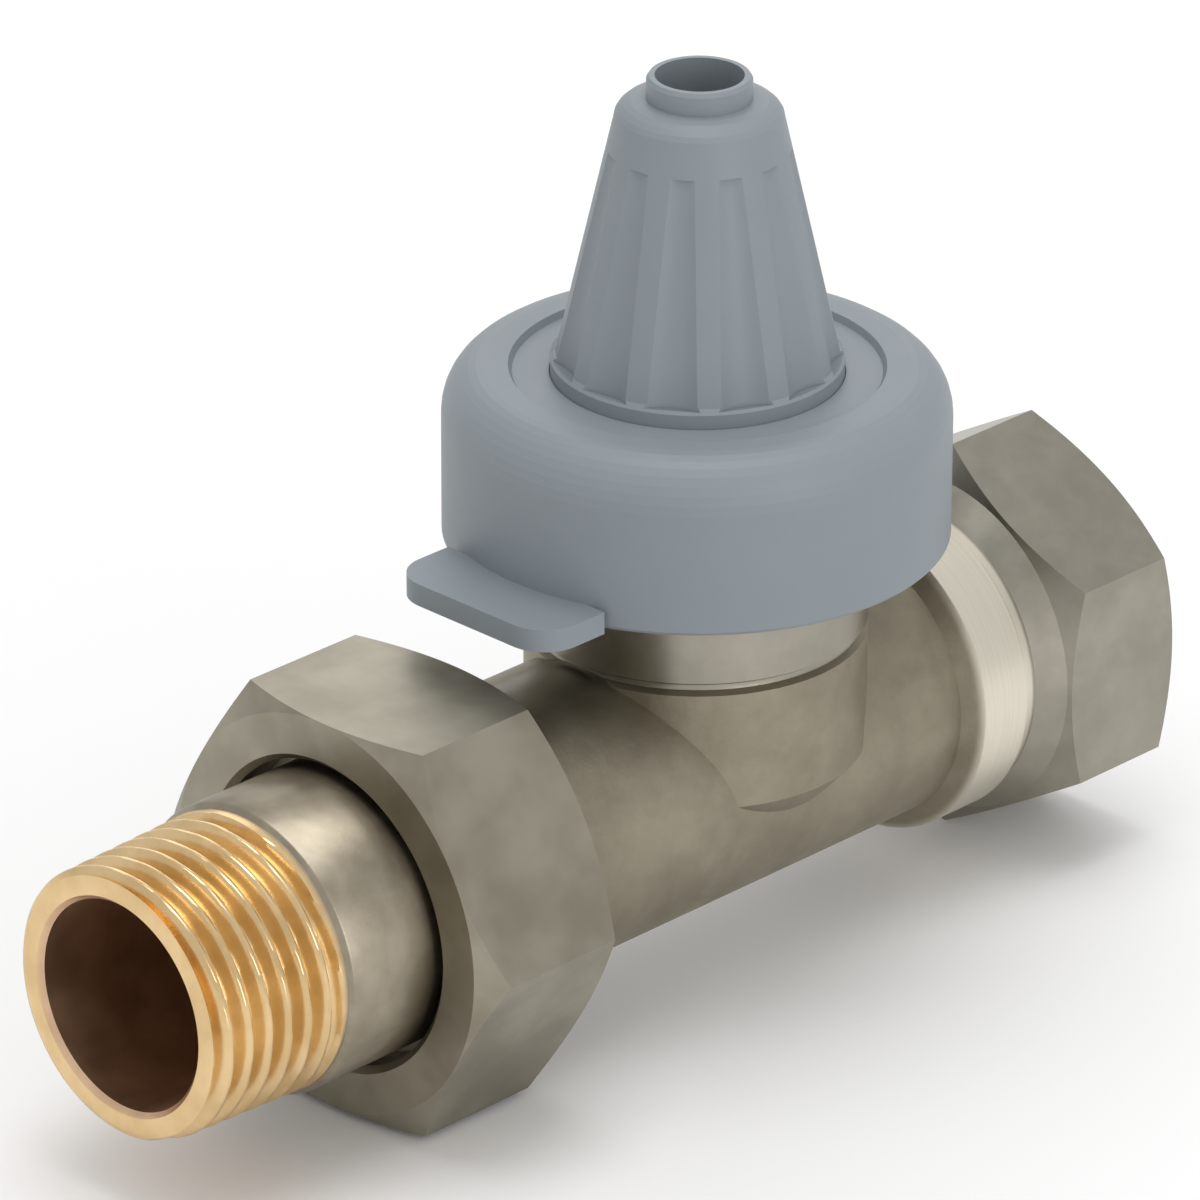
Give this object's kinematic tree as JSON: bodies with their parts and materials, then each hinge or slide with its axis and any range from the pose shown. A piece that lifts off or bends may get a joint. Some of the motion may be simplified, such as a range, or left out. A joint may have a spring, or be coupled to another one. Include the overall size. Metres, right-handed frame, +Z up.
{
  "type": "return temperature limiting valve",
  "caption": "Straight plated brass valve with a union nut and threaded tailpiece, a hexagon pipe socket, and a grey protective cap with a fluted turning knob.",
  "frame": {"origin": "under the middle of the valve's length, at the height of the lowest corner of the socket hexagon, on the pipe's centre plane", "axes": "+X along the pipe from the tailpiece to the hexagon socket, +Z up along the spindle towards the knob"},
  "size_m": [0.095, 0.0368, 0.0686],
  "materials": {
    "plated_body": "nickel-plated forging, satin, slightly uneven",
    "plated_nut": "nickel-plated, turned faces and drawn flats",
    "tail_brass": "bare brass thread cut through the plating, plated collar",
    "brass": "turned",
    "steel": "ground or drawn",
    "rubber": "moulded, matte",
    "grey_plastic": "moulded, satin blue-grey",
    "pale_plastic": "moulded, satin"
  },
  "bodies": {
    "housing": {"valve_body": "plated_body", "insert_housing": "brass", "insert_o_ring": "rubber", "spindle_bush": "pale_plastic", "gland_nut": "brass", "gland_outer_ring": "rubber", "gland_o_ring": "rubber", "gland_washer": "pale_plastic", "return_spring": "steel"},
    "spindle_set": {"pressure_pin": "steel", "spindle": "brass", "spring_clip": "steel", "spring_collar": "brass", "valve_plate": "brass", "seat_disc": "rubber", "disc_retainer": "brass"},
    "tail": {"tailpiece": "tail_brass"},
    "nut": {"union_nut": "plated_nut"},
    "cap": {"cap_skirt": "grey_plastic", "plunger_guide": "grey_plastic"},
    "knob": {"cap_knob": "grey_plastic"},
    "pusher": {"plunger": "pale_plastic"}
  },
  "joints": [
    {"name": "union_draw", "type": "slide", "parent": "housing", "child": "tail", "axis": [-1, 0, 0], "range_m": [0, 0.0049]},
    {"name": "union_nut_turn", "type": "hinge", "parent": "tail", "child": "nut", "pos_m": [-0.021, 0, 0.01559], "axis": [-1, 0, 0], "range_deg": [0, 972]},
    {"name": "cap_lift", "type": "slide", "parent": "housing", "child": "cap", "axis": [0, 0, 1], "range_m": [0, 0.022]},
    {"name": "knob_turn", "type": "hinge", "parent": "cap", "child": "knob", "pos_m": [0.01, 0, 0.05], "axis": [0, 0, -1], "range_deg": [0, 300]},
    {"name": "plunger_travel", "type": "slide", "parent": "cap", "child": "pusher", "axis": [0, 0, -1], "range_m": [0, 0.002]},
    {"name": "pin_press", "type": "slide", "parent": "housing", "child": "spindle_set", "axis": [0, 0, -1], "range_m": [0, 0.002], "deforming": ["return_spring"]}
  ],
  "couplings": [
    {"joint": "union_draw", "follows": "union_nut_turn", "m_per_rad": 0.00028875},
    {"joint": "plunger_travel", "follows": "knob_turn", "m_per_rad": 0.00038},
    {"joint": "pin_press", "follows": "knob_turn", "m_per_rad": 0.00038}
  ]
}
